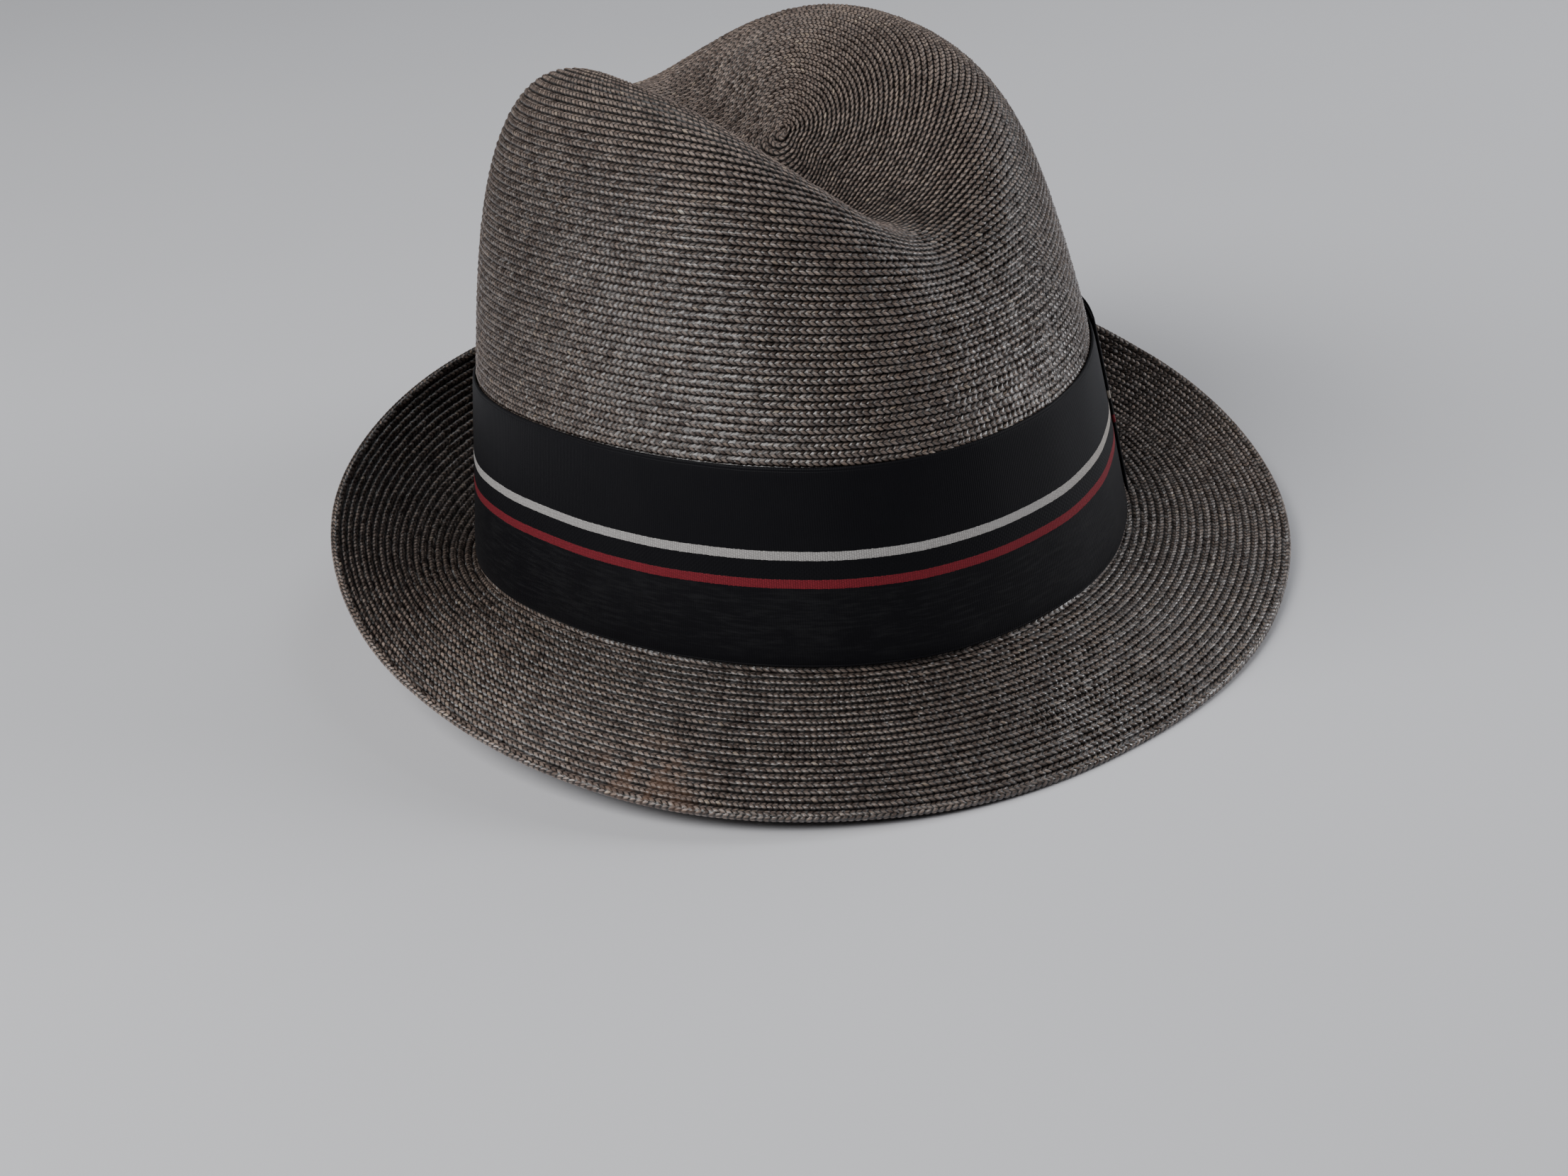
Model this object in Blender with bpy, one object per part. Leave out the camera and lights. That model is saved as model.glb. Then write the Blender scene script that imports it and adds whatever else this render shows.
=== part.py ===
"""Straw hat with a creased crown, a turned brim and a ribbon band with a flat bow.

Metres, +Z up, the wearer's front towards -Y and the wearer's left towards +X. The hat lies on z = 0 on its
brim, as it comes to rest by itself. The shapes are worked out upright, in the plane of the band, and each
object is then laid back by the same rest angle.
"""

import math

import bmesh
import bpy
import numpy as np

for item in list(bpy.data.objects):
    bpy.data.objects.remove(item, do_unlink=True)

# Straw body, measured on its outer face at the root of the crown
CROWN_HALF_WIDTH = 0.0849
CROWN_HALF_LENGTH = 0.0964
OVAL_POWER = 2.17
FRONT_NARROWING = 0.096
STRAW_WALL = 0.0016
ROOT_DIP = 0.0015
ROOT_SADDLE = 0.00256
ROOT_FILLET = 0.0016

# Crown before it is creased
OPEN_HEIGHT = 0.1485
SHOULDER_POWER = 5.39
WALL_POWER = 3.19
SIDE_TAPER = 0.158
END_TAPER = 0.095
BACK_RISE = 0.019
CROWN_LEAN = 0.046

# Teardrop crease and front pinch, as shares of the crown's half length and half width
CREASE_DEPTH = 0.0537
CREASE_CENTRE = -0.198
CREASE_BACK_REACH = 0.889
CREASE_FRONT_REACH = 0.713
CREASE_BACK_WIDTH = 0.367
CREASE_FRONT_WIDTH = 0.376
CREASE_OFFSET = 0.030
PINCH_SQUEEZE = 0.169
PINCH_CENTRE = -0.814
PINCH_REACH = 0.209
PINCH_DEPTH = 0.00215

# Brim: degrees from the front, how far the rim reaches out, how far it rises, and the slope at the root
BRIM_WIDTH = 0.045
BRIM_TURN = (
    # direction, reach share, rise share, root slope in degrees
    (0.0, 0.833, -0.429, -20.0),
    (30.0, 0.907, -0.382, -18.0),
    (60.0, 1.027, -0.238, -13.0),
    (90.0, 1.018, 0.076, -8.0),
    (120.0, 0.807, 0.522, 8.0),
    (150.0, 0.522, 0.847, 30.0),
    (180.0, 0.391, 0.938, 42.0),
)

# Ribbon band round the foot of the crown
RIBBON_HEIGHT = 0.0513
RIBBON_THICK = 0.0010
RIBBON_FOOT = 0.0003
PIECE_GAP = 0.0003

# Flat bow on the wearer's left: two loops of the same ribbon, and a strap round their meeting
BOW_DIRECTION = 80.0
LOOP_REACH = 0.049
LOOP_HOLLOW = 0.0006
LOOP_LIFT = 0.0016
LOOP_SPREAD = 0.0010
KNOT_WIDTH = 0.018
KNOT_TURN = 0.0010

AROUND = 64
CROWN_RINGS = 21
BRIM_RINGS = 7
BAND_ROWS = 4
LOOP_STEPS = 9


def blend(value, low, high):
    share = np.clip((value - low) / (high - low), 0.0, 1.0)
    return share * share * (3.0 - 2.0 * share)


def oval(turn):
    """Unit oval for angles counted from +X: a superellipse, each axis from -1 to 1."""
    power = 2.0 / OVAL_POWER
    across = np.sign(np.cos(turn)) * np.abs(np.cos(turn)) ** power
    along = np.sign(np.sin(turn)) * np.abs(np.sin(turn)) ** power
    return across, along


def root_height(turn):
    """Height of the line where crown meets brim: it rides up at the sides and down at the ends."""
    return ROOT_SADDLE * np.cos(2.0 * turn) - ROOT_DIP


def crown_point(turn, sweep):
    """Outer face of the crown. sweep runs from 0 at the tip to 1 at the root."""
    turn, sweep = np.broadcast_arrays(np.asarray(turn, float), np.asarray(sweep, float))
    lift = np.cos(sweep * math.pi / 2.0).clip(0.0) ** (2.0 / SHOULDER_POWER)
    spread = np.sin(sweep * math.pi / 2.0).clip(0.0) ** (2.0 / WALL_POWER)
    across, along = oval(turn)
    z = OPEN_HEIGHT * lift
    x = across * spread * (CROWN_HALF_WIDTH - SIDE_TAPER * z) * (1.0 + FRONT_NARROWING * along)
    y = along * spread * (CROWN_HALF_LENGTH - END_TAPER * z)
    sx = x / CROWN_HALF_WIDTH
    sy = y / CROWN_HALF_LENGTH
    z = z * (1.0 + BACK_RISE * sy)
    # Teardrop: long towards the back, narrowing towards the front
    reach = np.where(sy > CREASE_CENTRE, CREASE_BACK_REACH, CREASE_FRONT_REACH)
    length = np.exp(-((np.abs(sy - CREASE_CENTRE) / reach) ** 2.5))
    width = CREASE_FRONT_WIDTH + (CREASE_BACK_WIDTH - CREASE_FRONT_WIDTH) * blend(sy, -0.8, 0.4)
    hollow = np.exp(-(((sx - CREASE_OFFSET) / width) ** 2))
    z = z - CREASE_DEPTH * length * hollow * blend(lift, 0.0, 0.9)
    # Two dents at the front draw the sides together
    pinch = np.exp(-(((sy - PINCH_CENTRE) / PINCH_REACH) ** 2)) * blend(lift, 0.35, 0.85)
    x = x * (1.0 - PINCH_SQUEEZE * pinch)
    z = z - PINCH_DEPTH * pinch * np.exp(-((sx / 0.35) ** 2))
    x = x + CROWN_LEAN * z
    z = z + root_height(turn) * (1.0 - blend(z, 0.0, 0.45 * OPEN_HEIGHT))
    return np.stack([x, y, z], axis=-1)


def root_point(turn):
    across, along = oval(turn)
    x = across * CROWN_HALF_WIDTH * (1.0 + FRONT_NARROWING * along)
    return np.stack([x, along * CROWN_HALF_LENGTH, root_height(turn)], axis=-1)


def root_normal(turn):
    """Level direction pointing out of the oval."""
    step = 1e-3
    ahead = root_point(turn + step) - root_point(turn - step)
    out = np.stack([ahead[..., 1], -ahead[..., 0], np.zeros_like(ahead[..., 0])], axis=-1)
    return out / np.linalg.norm(out, axis=-1, keepdims=True)


def from_table(table, degrees, column):
    """Smooth curve through one column of a table whose ends mirror, so that it is level at both."""
    keys = np.array([row[0] for row in table])
    values = np.array([row[column] for row in table])
    slopes = np.gradient(values, keys)
    slopes[0] = 0.0
    slopes[-1] = 0.0
    spot = np.clip(np.searchsorted(keys, degrees, side="right") - 1, 0, len(keys) - 2)
    gap = keys[spot + 1] - keys[spot]
    q = (degrees - keys[spot]) / gap
    start = (1 + 2 * q) * (1 - q) ** 2 * values[spot] + q * (1 - q) ** 2 * gap * slopes[spot]
    end = q * q * (3 - 2 * q) * values[spot + 1] + q * q * (q - 1) * gap * slopes[spot + 1]
    return start + end


def brim_point(turn, share):
    """Outer (upper) face of the brim: an arc from its root, share 0, to the rim, share 1."""
    turn, share = np.broadcast_arrays(np.asarray(turn, float), np.asarray(share, float))
    front = np.degrees(np.arccos(np.clip(-np.sin(turn), -1.0, 1.0)))
    reach = BRIM_WIDTH * from_table(BRIM_TURN, front, 1)
    rise = BRIM_WIDTH * from_table(BRIM_TURN, front, 2)
    first = np.radians(from_table(BRIM_TURN, front, 3))
    bend = 2.0 * (np.arctan2(rise, reach) - first)
    bend = np.where(np.abs(bend) < 1e-4, 1e-4, bend)
    radius = np.hypot(reach, rise) / (2.0 * np.sin(bend / 2.0))
    out = radius * (np.sin(first + bend * share) - np.sin(first))
    up = -radius * (np.cos(first + bend * share) - np.cos(first))
    point = root_point(turn) + root_normal(turn) * out[..., None]
    point[..., 2] += up
    return point


def even_sweeps(count):
    """Sweeps that space the rings evenly down the crown, on the mean of eight walls."""
    fine = np.linspace(0.0, 1.0, 600)
    walls = [crown_point(angle, fine) for angle in (0.0, 0.8, 1.57, 2.4, 3.14, 3.9, 4.71, 5.5)]
    steps = sum(np.linalg.norm(np.diff(wall, axis=0), axis=1) for wall in walls)
    length = np.concatenate([[0.0], np.cumsum(steps)])
    return np.interp(np.linspace(0.0, 1.0, count + 1) * length[-1], length, fine)


def straw_rings():
    """Rings of the outer face from the tip to the rim; the first is a single point."""
    turns = np.arange(AROUND) * 2.0 * math.pi / AROUND
    sweeps = even_sweeps(CROWN_RINGS)
    rings = [crown_point(turns, sweep) for sweep in sweeps[1:-1]]
    root = root_point(turns)
    brim_share = ROOT_FILLET / BRIM_WIDTH
    above = wall_at(turns, root[:, 2] + ROOT_FILLET)
    below = brim_point(turns, brim_share)
    rings += [above, (above + 2.0 * root + below) / 4.0, below]
    rings += [brim_point(turns, share) for share in np.linspace(brim_share, 1.0, BRIM_RINGS + 1)[1:]]
    return crown_point(0.0, 0.0), np.array(rings)


def wall_at(turns, heights):
    """Points of the crown's outer face at these heights, within the band's reach above the root."""
    fine = np.linspace(1.0, 0.45, 160)
    found = []
    for turn, height in zip(turns, heights):
        column = crown_point(turn, fine)
        rising = np.maximum.accumulate(column[:, 2])
        keep = np.concatenate([[True], np.diff(rising) > 1e-9])
        x = np.interp(height, rising[keep], column[keep, 0])
        y = np.interp(height, rising[keep], column[keep, 1])
        found.append((x, y, height))
    return np.array(found)


def face_normals(tip, rings):
    """Outward normals of a ring grid, with the tip's own."""
    around = np.roll(rings, -1, axis=1) - np.roll(rings, 1, axis=1)
    start = np.broadcast_to(tip, rings[:1].shape)
    down = np.concatenate([rings[1:], 2 * rings[-1:] - rings[-2:-1]]) - np.concatenate([start, rings[:-1]])
    normal = np.cross(down, around)
    normal /= np.linalg.norm(normal, axis=2, keepdims=True)
    top = normal[0].mean(axis=0)
    return top / np.linalg.norm(top), normal


def surface_centre(points, faces):
    """Centre of the faces by area, which is where a thin even wall balances."""
    weights, centres = [], []
    for face in faces:
        corners = points[list(face)]
        spokes = np.cross(corners[1:-1] - corners[0], corners[2:] - corners[0])
        weights.append(np.linalg.norm(spokes, axis=1).sum())
        centres.append(corners.mean(axis=0))
    return np.average(np.array(centres), axis=0, weights=np.array(weights))


def rest_of(points, centre):
    """Tilt about X, and lift, that lay the hat on the floor with its centre at its lowest."""
    best = None
    for tilt in np.radians(np.linspace(-30.0, 30.0, 1201)):
        z = points[:, 1] * math.sin(tilt) + points[:, 2] * math.cos(tilt)
        height = centre[1] * math.sin(tilt) + centre[2] * math.cos(tilt) - z.min()
        if best is None or height < best[0]:
            best = (height, tilt, -z.min())
    return best[1], best[2]


def material(name, colour, roughness, sheen=0.0):
    made = bpy.data.materials.new(name)
    made.use_nodes = True
    shader = made.node_tree.nodes["Principled BSDF"]
    shader.inputs["Base Color"].default_value = (*colour, 1.0)
    shader.inputs["Roughness"].default_value = roughness
    shader.inputs["Sheen Weight"].default_value = sheen
    made.diffuse_color = (*colour, 1.0)
    return made


def add_object(name, points, faces, colour, roughness, sheen=0.0):
    """Object from points in the band's plane; it is laid back by its own rotation and location."""
    mesh = bpy.data.meshes.new(name)
    mesh.from_pydata([tuple(map(float, point)) for point in points], [], faces)
    work = bmesh.new()
    work.from_mesh(mesh)
    bmesh.ops.recalc_face_normals(work, faces=work.faces)
    work.to_mesh(mesh)
    work.free()
    mesh.polygons.foreach_set("use_smooth", [True] * len(mesh.polygons))
    mesh.materials.append(material(name, colour, roughness, sheen))
    mesh.update()
    made = bpy.data.objects.new(name, mesh)
    bpy.context.collection.objects.link(made)
    made.rotation_euler = (REST_TILT, 0.0, 0.0)
    made.location = (PLACE[0], PLACE[1], PLACE[2])
    return made


def ring_faces(first, second, count):
    """Quads between two closed rings, facing out when the first ring is the upper, outer one."""
    pairs = [(k, (k + 1) % count) for k in range(count)]
    return [(first + a, second + a, second + b, first + b) for a, b in pairs]


def straw_mesh():
    tip, rings = straw_rings()
    top, normals = face_normals(tip, rings)
    inner_tip = tip - top * STRAW_WALL
    inner = rings - normals * STRAW_WALL
    outward = normals[-1]
    edge = rings[-1] - rings[-2]
    edge /= np.linalg.norm(edge, axis=1, keepdims=True)
    lip = rings[-1] - outward * STRAW_WALL * 0.5 + edge * STRAW_WALL * 0.45
    sheets = [*rings, lip, *inner[::-1]]
    points = [tip] + [point for ring in sheets for point in ring] + [inner_tip]
    faces = []
    last = len(points) - 1
    for k in range(AROUND):
        faces.append((0, 1 + k, 1 + (k + 1) % AROUND))
    for index in range(len(sheets) - 1):
        faces += ring_faces(1 + index * AROUND, 1 + (index + 1) * AROUND, AROUND)
    start = 1 + (len(sheets) - 1) * AROUND
    for k in range(AROUND):
        faces.append((last, start + (k + 1) % AROUND, start + k))
    return np.array(points), faces


def band_shell(turns, low, high, inner_out, thick, rows):
    """Points on the wall, moved out level by inner_out and by inner_out + thick."""
    near, far = [], []
    for share in np.linspace(0.0, 1.0, rows + 1):
        wall = wall_at(turns, low + (high - low) * share)
        out = root_normal(turns)
        near.append(wall + out * inner_out)
        far.append(wall + out * (inner_out + thick))
    return near, far


def ribbon_mesh():
    turns = np.arange(AROUND) * 2.0 * math.pi / AROUND
    foot = root_height(turns) + ROOT_DIP + RIBBON_FOOT
    near, far = band_shell(turns, foot, foot + RIBBON_HEIGHT, PIECE_GAP, RIBBON_THICK, BAND_ROWS)
    loop = [*far[::-1], *near]
    points = np.concatenate(loop)
    faces = []
    for index in range(len(loop)):
        faces += ring_faces(index * AROUND, (index + 1) % len(loop) * AROUND, AROUND)
    return points, faces


def path_turns(start, lengths):
    """Oval angles reached from one angle by going these distances along the band."""
    fine = np.linspace(start - 1.2, start + 1.2, 2401)
    middle = root_point(fine) + root_normal(fine) * BAND_OUT
    steps = np.linalg.norm(np.diff(middle[:, :2], axis=0), axis=1)
    along = np.concatenate([[0.0], np.cumsum(steps)])
    along -= np.interp(start, fine, along)
    return np.interp(lengths, along, fine)


def swept_strip(section, heights):
    """Closed body from a plan outline given as (turn, distance out) and the heights of its rows."""
    count = len(section)
    turns = np.array([corner[0] for corner in section])
    outs = np.array([corner[1] for corner in section])
    saddle = root_height(turns) + ROOT_DIP
    points = []
    for height in heights:
        wall = wall_at(turns, saddle + height)
        points.append(wall + root_normal(turns) * outs[:, None])
    return np.concatenate(points), count


def loop_mesh(side):
    """One flat loop: the ribbon goes out, folds round a thin hollow and comes back on itself."""
    start = math.radians(BOW_DIRECTION - 90.0)
    first = PIECE_GAP * 2.0
    inside = BAND_OUT + PIECE_GAP
    back = inside + RIBBON_THICK
    front = back + LOOP_HOLLOW
    outside = front + RIBBON_THICK
    fold = LOOP_REACH - (outside - inside) / 2.0
    lengths = np.linspace(first, fold, LOOP_STEPS)
    bow = np.linspace(0.0, math.pi, 7)[1:-1]
    middle = (inside + outside) / 2.0
    wide = (outside - inside) / 2.0
    tight = LOOP_HOLLOW / 2.0
    track = [(length, inside) for length in lengths]
    track += [(fold + wide * math.sin(a), middle - wide * math.cos(a)) for a in bow]
    track += [(length, outside) for length in lengths[::-1]]
    track += [(length, front) for length in lengths]
    track += [(fold + tight * math.sin(a), middle + tight * math.cos(a)) for a in bow]
    track += [(length, back) for length in lengths[::-1]]
    turns = path_turns(start, side * np.array([spot[0] for spot in track]))
    section = [(turn, spot[1]) for turn, spot in zip(turns, track)]
    foot = RIBBON_FOOT + LOOP_LIFT
    heights = foot + (RIBBON_HEIGHT + LOOP_SPREAD) * np.linspace(0.0, 1.0, BAND_ROWS + 1)
    points, count = swept_strip(section, heights)
    faces = []
    for row in range(BAND_ROWS):
        faces += ring_faces(row * count, (row + 1) * count, count)
    # The caps join each point of the strip's outer track to its partner on the inner track
    half = count // 2
    for base in (0, BAND_ROWS * count):
        faces += [(base + k, base + k + 1, base + count - 2 - k, base + count - 1 - k) for k in range(half - 1)]
    return points, faces


def knot_mesh():
    """Strap over both loops, turned in over their top edges."""
    start = math.radians(BOW_DIRECTION - 90.0)
    under = BAND_OUT + 2.0 * PIECE_GAP + 2.0 * RIBBON_THICK + LOOP_HOLLOW
    over = under + RIBBON_THICK
    foot = RIBBON_FOOT + LOOP_LIFT * 0.5
    top = RIBBON_FOOT + LOOP_LIFT + RIBBON_HEIGHT + LOOP_SPREAD + PIECE_GAP
    roof = top + KNOT_TURN
    rim = PIECE_GAP + RIBBON_THICK * 0.2
    walk = np.linspace(foot, top, BAND_ROWS + 2)
    # Outline of the strap's cross-section: distance out and height, once round
    section = [(over, height) for height in walk]
    section += [(over - KNOT_TURN * 0.3, roof - KNOT_TURN * 0.3), (over - KNOT_TURN, roof), (rim, roof)]
    section += [(rim, top)]
    section += [(under, height) for height in walk[::-1]]
    turns = path_turns(start, np.linspace(-KNOT_WIDTH / 2.0, KNOT_WIDTH / 2.0, 7))
    points = []
    for out, height in section:
        saddle = root_height(turns) + ROOT_DIP
        points.append(wall_at(turns, saddle + height) + root_normal(turns) * out)
    points = np.array(points)
    rows, count = points.shape[:2]
    faces = []
    for row in range(rows):
        after = (row + 1) % rows
        for k in range(count - 1):
            faces.append((row * count + k, row * count + k + 1, after * count + k + 1, after * count + k))
    pairs = BAND_ROWS + 1
    for k in (0, count - 1):
        cap = [row * count + k for row in range(rows)]
        for step in range(pairs):
            faces.append((cap[step], cap[step + 1], cap[rows - 2 - step], cap[rows - 1 - step]))
        faces.append(tuple(cap[pairs : rows - pairs]))
    return points.reshape(-1, 3), faces


BAND_OUT = PIECE_GAP + RIBBON_THICK

STRAW_POINTS, STRAW_FACES = straw_mesh()
REST_TILT, REST_LIFT = rest_of(STRAW_POINTS, surface_centre(STRAW_POINTS, STRAW_FACES))
LEVEL_Y = STRAW_POINTS[:, 1] * math.cos(REST_TILT) - STRAW_POINTS[:, 2] * math.sin(REST_TILT)
MIDDLE_X = (STRAW_POINTS[:, 0].min() + STRAW_POINTS[:, 0].max()) / 2.0
PLACE = (-MIDDLE_X, -(LEVEL_Y.min() + LEVEL_Y.max()) / 2.0, REST_LIFT)

STRAW = (0.125, 0.105, 0.088)
RIBBON = (0.010, 0.010, 0.013)
add_object("straw_body", STRAW_POINTS, STRAW_FACES, STRAW, 0.42)
add_object("ribbon_band", *ribbon_mesh(), RIBBON, 0.6, 0.2)
add_object("bow_front_loop", *loop_mesh(-1.0), RIBBON, 0.6, 0.2)
add_object("bow_back_loop", *loop_mesh(1.0), RIBBON, 0.6, 0.2)
add_object("bow_knot", *knot_mesh(), RIBBON, 0.6, 0.2)
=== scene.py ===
import math
from collections import namedtuple

import bpy
import numpy as np
from mathutils import Euler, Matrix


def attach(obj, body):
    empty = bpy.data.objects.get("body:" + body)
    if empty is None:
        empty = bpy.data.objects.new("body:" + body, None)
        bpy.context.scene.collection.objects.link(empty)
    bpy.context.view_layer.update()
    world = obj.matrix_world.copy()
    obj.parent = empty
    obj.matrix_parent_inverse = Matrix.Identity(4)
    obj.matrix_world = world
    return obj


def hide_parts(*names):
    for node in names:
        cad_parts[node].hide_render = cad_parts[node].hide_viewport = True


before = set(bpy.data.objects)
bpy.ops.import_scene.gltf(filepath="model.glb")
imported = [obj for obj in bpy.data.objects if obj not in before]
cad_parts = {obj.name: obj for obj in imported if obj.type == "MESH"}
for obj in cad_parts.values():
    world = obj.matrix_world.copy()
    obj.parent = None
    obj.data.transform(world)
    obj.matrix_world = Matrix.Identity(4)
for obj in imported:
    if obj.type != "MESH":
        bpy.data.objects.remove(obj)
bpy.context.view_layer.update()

# The hat's shapes, as in the part's own source: metres, upright, in the plane of the band
CROWN_HALF_WIDTH = 0.0849
CROWN_HALF_LENGTH = 0.0964
OVAL_POWER = 2.17
FRONT_NARROWING = 0.096
STRAW_WALL = 0.0016
ROOT_DIP = 0.0015
ROOT_SADDLE = 0.00256
OPEN_HEIGHT = 0.1485
SHOULDER_POWER = 5.39
WALL_POWER = 3.19
SIDE_TAPER = 0.158
END_TAPER = 0.095
BACK_RISE = 0.019
CROWN_LEAN = 0.046
CREASE_DEPTH = 0.0537
CREASE_CENTRE = -0.198
CREASE_BACK_REACH = 0.889
CREASE_FRONT_REACH = 0.713
CREASE_BACK_WIDTH = 0.367
CREASE_FRONT_WIDTH = 0.376
CREASE_OFFSET = 0.030
PINCH_SQUEEZE = 0.169
PINCH_CENTRE = -0.814
PINCH_REACH = 0.209
PINCH_DEPTH = 0.00215
BRIM_WIDTH = 0.045
BRIM_TURN = (
    (0.0, 0.833, -0.429, -20.0),
    (30.0, 0.907, -0.382, -18.0),
    (60.0, 1.027, -0.238, -13.0),
    (90.0, 1.018, 0.076, -8.0),
    (120.0, 0.807, 0.522, 8.0),
    (150.0, 0.522, 0.847, 30.0),
    (180.0, 0.391, 0.938, 42.0),
)
RIBBON_HEIGHT = 0.0513
RIBBON_THICK = 0.0010
RIBBON_FOOT = 0.0003
PIECE_GAP = 0.0003
BAND_OUT = PIECE_GAP + RIBBON_THICK
BOW_DIRECTION = 80.0
LOOP_REACH = 0.049
LOOP_DEPTH = 0.0012
LOOP_LIFT = 0.0005
KNOT_WIDTH = 0.018
REST_TILT = math.radians(-4.95)
PLACE = np.array([0.0, 0.008599, 0.0131726])

# The braid: rows from the spiral's centre to the crown's root and rows on the brim, the length of a pair
# of leaves, where the spiral starts, and how the leaves slant, meet and tuck under the row above
CROWN_ROWS = 103
BRIM_ROWS = 21
CELL = 0.00168
SPIRAL_CENTRE = (0.060, 0.035)
SHEAR = 1.45
VERTEX = 0.50
TUCK = 0.12
SEED = 7

# Each piece counts its leaves from a place of its own, so that no two pieces share a pattern
RING_LEAVES = 1000.0
EDGE_LEAVES = 60000.0
KNOB_LEAVES = 70000.0
INSIDE_LEAVES = 80000.0
FOOT_LEAVES = 90000.0

# Across one row of braid: how high each line stands and how much its leaves swell, in metres. Along one
# leaf: how far each step swells, and how far it slips where the upper and lower leaves meet in a zigzag
Braid = namedtuple("Braid", "across base swell leaf zigzag")
FACE = Braid(
    across=np.array([0.0, 0.14, 0.50, 0.72, 0.90, 1.0]),
    base=np.array([-0.60, -0.26, 0.14, 0.30, 0.13, -0.58]) / 1000.0,
    swell=np.array([0.00, 0.10, 0.13, 0.15, 0.14, 0.05]) / 1000.0,
    leaf=np.array([-1.0, 0.75, 0.80]),
    zigzag=np.array([0.055, -0.01, -0.045]),
)
REVERSE = Braid(
    across=np.array([0.0, 0.50, 0.86, 1.0]),
    base=np.array([-0.28, 0.04, 0.10, -0.22]) / 1000.0,
    swell=np.array([0.0, 0.09, 0.12, 0.04]) / 1000.0,
    leaf=np.array([-0.6, 0.8]),
    zigzag=np.array([0.045, -0.045]),
)

# Lines of the ribbon up its width, closer together at the selvages and the stripes (millimetres)
LOOP_LINES = np.array([0.0, 0.25, 0.8, 2.0, 8.0, 15.0, 20.6, 21.9, 23.2, 25.5, 27.8, 29.1, 30.4, 37.0, 44.0,
                       49.3, 50.5, 51.05, 51.3])
# The same for the band, up its outer face and down its inner one, and how far out each line lies
BAND_LINES = np.array([0.15, 0.0, 0.2, 0.6, 0.9, 1.4, 3.0, 6.0, 10.0, 14.0, 18.0, 20.6, 21.9, 23.2, 25.5,
                       27.8, 29.1, 30.4, 34.0, 38.0, 42.0, 46.0, 48.8, 50.0, 50.5, 50.8, 51.1, 51.3, 51.15,
                       48.0, 36.0, 24.0, 12.0, 3.0])
BAND_OUTS = np.array([0.55, 0.80, 1.08, 1.20, 1.13, 1.24, 1.28, 1.30, 1.30, 1.30, 1.30, 1.30, 1.34, 1.30,
                      1.28, 1.30, 1.34, 1.30, 1.30, 1.30, 1.30, 1.30, 1.27, 1.22, 1.13, 1.18, 1.05, 0.80,
                      0.55, 0.45, 0.40, 0.40, 0.40, 0.45])
# The strap's lines from side to side, as shares of half its width, and where its two pleats lie
KNOT_LINES = np.array([-1.0, -0.985, -0.93, -0.80, -0.60, -0.55, -0.50, -0.30, -0.1, 0.1, 0.30, 0.50, 0.55,
                       0.60, 0.80, 0.93, 0.985, 1.0])
KNOT_PLEAT = 0.55
KNOT_THICK = 0.0007
LOOP_THICK = 0.0004


def blend(value, low, high):
    share = np.clip((value - low) / (high - low), 0.0, 1.0)
    return share * share * (3.0 - 2.0 * share)


def oval(turn):
    power = 2.0 / OVAL_POWER
    across = np.sign(np.cos(turn)) * np.abs(np.cos(turn)) ** power
    along = np.sign(np.sin(turn)) * np.abs(np.sin(turn)) ** power
    return across, along


def root_height(turn):
    return ROOT_SADDLE * np.cos(2.0 * turn) - ROOT_DIP


def crown_point(turn, sweep):
    turn, sweep = np.broadcast_arrays(np.asarray(turn, float), np.asarray(sweep, float))
    lift = np.cos(sweep * math.pi / 2.0).clip(0.0) ** (2.0 / SHOULDER_POWER)
    spread = np.sin(sweep * math.pi / 2.0).clip(0.0) ** (2.0 / WALL_POWER)
    across, along = oval(turn)
    z = OPEN_HEIGHT * lift
    x = across * spread * (CROWN_HALF_WIDTH - SIDE_TAPER * z) * (1.0 + FRONT_NARROWING * along)
    y = along * spread * (CROWN_HALF_LENGTH - END_TAPER * z)
    sx = x / CROWN_HALF_WIDTH
    sy = y / CROWN_HALF_LENGTH
    z = z * (1.0 + BACK_RISE * sy)
    reach = np.where(sy > CREASE_CENTRE, CREASE_BACK_REACH, CREASE_FRONT_REACH)
    length = np.exp(-((np.abs(sy - CREASE_CENTRE) / reach) ** 2.5))
    width = CREASE_FRONT_WIDTH + (CREASE_BACK_WIDTH - CREASE_FRONT_WIDTH) * blend(sy, -0.8, 0.4)
    hollow = np.exp(-(((sx - CREASE_OFFSET) / width) ** 2))
    z = z - CREASE_DEPTH * length * hollow * blend(lift, 0.0, 0.9)
    pinch = np.exp(-(((sy - PINCH_CENTRE) / PINCH_REACH) ** 2)) * blend(lift, 0.35, 0.85)
    x = x * (1.0 - PINCH_SQUEEZE * pinch)
    z = z - PINCH_DEPTH * pinch * np.exp(-((sx / 0.35) ** 2))
    x = x + CROWN_LEAN * z
    z = z + root_height(turn) * (1.0 - blend(z, 0.0, 0.45 * OPEN_HEIGHT))
    return np.stack([x, y, z], axis=-1)


def root_point(turn):
    across, along = oval(turn)
    x = across * CROWN_HALF_WIDTH * (1.0 + FRONT_NARROWING * along)
    return np.stack([x, along * CROWN_HALF_LENGTH, root_height(turn)], axis=-1)


def root_normal(turn):
    step = 1e-3
    ahead = root_point(turn + step) - root_point(turn - step)
    out = np.stack([ahead[..., 1], -ahead[..., 0], np.zeros_like(ahead[..., 0])], axis=-1)
    return out / np.linalg.norm(out, axis=-1, keepdims=True)


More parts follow.
